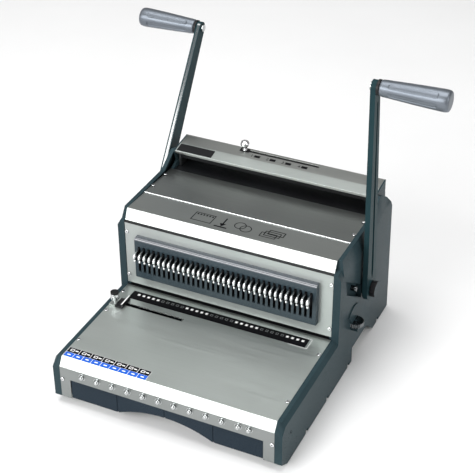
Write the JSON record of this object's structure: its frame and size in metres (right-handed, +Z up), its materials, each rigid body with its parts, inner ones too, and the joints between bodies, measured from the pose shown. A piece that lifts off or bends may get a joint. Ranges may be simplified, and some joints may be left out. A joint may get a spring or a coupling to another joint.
{
  "type": "wire binding machine",
  "caption": "Desk machine that punches square holes with one lever and closes a binding wire with the other, with a paper deck, wire hooks, a chip drawer and a gap selector.",
  "frame": {"origin": "middle of the part's outer box in plan, on the surface that the feet stand on", "axes": "+X to the machine's right, +Y to its rear, +Z up"},
  "size_m": [0.6046, 0.5425, 0.4939],
  "materials": {
    "satin_steel": "satin",
    "teal_paint": "satin",
    "slate_plastic": "satin",
    "bright_chrome": "polished",
    "tool_steel": "ground",
    "black_paint": "satin",
    "black_plastic": "matt",
    "grey_plastic": "satin",
    "foot_rubber": "matt",
    "bush_brass": "plain"
  },
  "bodies": {
    "housing": {"base_pan": "satin_steel", "rubber_feet": "foot_rubber", "left_side_cover": "teal_paint", "right_side_cover": "teal_paint", "left_inner_frame": "teal_paint", "right_inner_frame": "teal_paint", "deck_plate": "satin_steel", "fascia_plate": "satin_steel", "front_panel": "satin_steel", "top_cover_front": "satin_steel", "top_cover_rear": "satin_steel", "rear_panel": "satin_steel", "closer_housing": "satin_steel", "closer_end_plates": "teal_paint", "housing_screws": "bright_chrome", "comb_block": "slate_plastic", "hook_rack": "bright_chrome", "die_plate": "tool_steel", "die_rails": "tool_steel", "stripper_plate": "tool_steel", "guide_posts": "tool_steel", "return_springs": "tool_steel", "anvil_bar": "black_paint", "shaft_bushes": "bush_brass", "selector_rail": "tool_steel"},
    "punch_carriage": {"punch_beam": "tool_steel", "punch_pins": "tool_steel", "punch_racks": "tool_steel"},
    "press_carriage": {"press_bar": "black_paint", "press_racks": "tool_steel"},
    "punch_lever": {"punch_arm": "teal_paint", "punch_shaft": "tool_steel", "punch_pinions": "tool_steel", "punch_hub_cap": "black_plastic", "punch_grip_bolt": "black_paint"},
    "punch_handle": {"punch_grip": "grey_plastic"},
    "closing_lever": {"closing_arm": "teal_paint", "closing_shaft": "tool_steel", "closing_pinions": "tool_steel", "closing_hub_cap": "black_plastic", "closing_grip_bolt": "black_paint"},
    "closing_handle": {"closing_grip": "grey_plastic"},
    "drawer": {"chip_drawer": "slate_plastic"},
    "guide": {"edge_guide": "bright_chrome"},
    "guide_clamp": {"guide_knob": "bright_chrome"},
    "selector": {"gap_selector": "bright_chrome"},
    "dial": {"margin_dial": "bright_chrome"},
    "backstop": {"backstop_bar": "tool_steel"},
    "stud_1": {"pull_stud_1": "bright_chrome"},
    "stud_2": {"pull_stud_2": "bright_chrome"},
    "stud_3": {"pull_stud_3": "bright_chrome"},
    "stud_4": {"pull_stud_4": "bright_chrome"},
    "stud_5": {"pull_stud_5": "bright_chrome"},
    "stud_6": {"pull_stud_6": "bright_chrome"},
    "stud_7": {"pull_stud_7": "bright_chrome"},
    "stud_8": {"pull_stud_8": "bright_chrome"},
    "stud_9": {"pull_stud_9": "bright_chrome"},
    "stud_10": {"pull_stud_10": "bright_chrome"},
    "stud_11": {"pull_stud_11": "bright_chrome"},
    "stud_12": {"pull_stud_12": "bright_chrome"}
  },
  "joints": [
    {"name": "punch_lever_swing", "type": "hinge", "parent": "housing", "child": "punch_lever", "pos_m": [0, 0.04755, 0.121], "axis": [1, 0, 0], "range_deg": [0, 75], "stiffness_Nm_per_rad": 4, "springref_deg": -17.19},
    {"name": "punch_stroke", "type": "slide", "parent": "housing", "child": "punch_carriage", "axis": [0, 0, 1], "range_m": [-0.01375, 0], "deforming": ["return_springs"]},
    {"name": "punch_grip_spin", "type": "hinge", "parent": "punch_lever", "child": "punch_handle", "pos_m": [0.25, 0.02008, 0.47795], "axis": [1, 0, 0], "continuous": true},
    {"name": "closing_lever_swing", "type": "hinge", "parent": "housing", "child": "closing_lever", "pos_m": [0, 0.07455, 0.122], "axis": [1, 0, 0], "range_deg": [0, 60], "stiffness_Nm_per_rad": 3, "springref_deg": -17.19},
    {"name": "press_stroke", "type": "slide", "parent": "housing", "child": "press_carriage", "axis": [0, 0, 1], "range_m": [-0.011, 0]},
    {"name": "closing_grip_spin", "type": "hinge", "parent": "closing_lever", "child": "closing_handle", "pos_m": [-0.25, 0.25525, 0.39574], "axis": [1, 0, 0], "continuous": true},
    {"name": "drawer_slide", "type": "slide", "parent": "housing", "child": "drawer", "axis": [0, -1, 0], "range_m": [0, 0.2]},
    {"name": "guide_slide", "type": "slide", "parent": "housing", "child": "guide", "axis": [1, 0, 0], "range_m": [0, 0.095]},
    {"name": "guide_knob_turn", "type": "hinge", "parent": "guide", "child": "guide_clamp", "pos_m": [-0.166, -0.11045, 0.1], "axis": [0, 0, 1], "range_deg": [0, 270]},
    {"name": "gap_slide", "type": "slide", "parent": "housing", "child": "selector", "axis": [1, 0, 0], "range_m": [0, 0.125]},
    {"name": "margin_turn", "type": "hinge", "parent": "housing", "child": "dial", "pos_m": [0.189, 0.00855, 0.0795], "axis": [0, 0, 1], "range_deg": [-150, 150]},
    {"name": "backstop_shift", "type": "slide", "parent": "housing", "child": "backstop", "axis": [0, 1, 0], "range_m": [-0.002, 0.002]},
    {"name": "pull_stud_1_slide", "type": "slide", "parent": "housing", "child": "stud_1", "axis": [0, -1, 0], "range_m": [0, 0.006]},
    {"name": "pull_stud_2_slide", "type": "slide", "parent": "housing", "child": "stud_2", "axis": [0, -1, 0], "range_m": [0, 0.006]},
    {"name": "pull_stud_3_slide", "type": "slide", "parent": "housing", "child": "stud_3", "axis": [0, -1, 0], "range_m": [0, 0.006]},
    {"name": "pull_stud_4_slide", "type": "slide", "parent": "housing", "child": "stud_4", "axis": [0, -1, 0], "range_m": [0, 0.006]},
    {"name": "pull_stud_5_slide", "type": "slide", "parent": "housing", "child": "stud_5", "axis": [0, -1, 0], "range_m": [0, 0.006]},
    {"name": "pull_stud_6_slide", "type": "slide", "parent": "housing", "child": "stud_6", "axis": [0, -1, 0], "range_m": [0, 0.006]},
    {"name": "pull_stud_7_slide", "type": "slide", "parent": "housing", "child": "stud_7", "axis": [0, -1, 0], "range_m": [0, 0.006]},
    {"name": "pull_stud_8_slide", "type": "slide", "parent": "housing", "child": "stud_8", "axis": [0, -1, 0], "range_m": [0, 0.006]},
    {"name": "pull_stud_9_slide", "type": "slide", "parent": "housing", "child": "stud_9", "axis": [0, -1, 0], "range_m": [0, 0.006]},
    {"name": "pull_stud_10_slide", "type": "slide", "parent": "housing", "child": "stud_10", "axis": [0, -1, 0], "range_m": [0, 0.006]},
    {"name": "pull_stud_11_slide", "type": "slide", "parent": "housing", "child": "stud_11", "axis": [0, -1, 0], "range_m": [0, 0.006]},
    {"name": "pull_stud_12_slide", "type": "slide", "parent": "housing", "child": "stud_12", "axis": [0, -1, 0], "range_m": [0, 0.006]}
  ],
  "couplings": [
    {"joint": "punch_stroke", "follows": "punch_lever_swing", "m_per_rad": -0.0105},
    {"joint": "press_stroke", "follows": "closing_lever_swing", "m_per_rad": -0.0105},
    {"joint": "margin_turn", "follows": "backstop_shift", "rad_per_m": 1300}
  ]
}
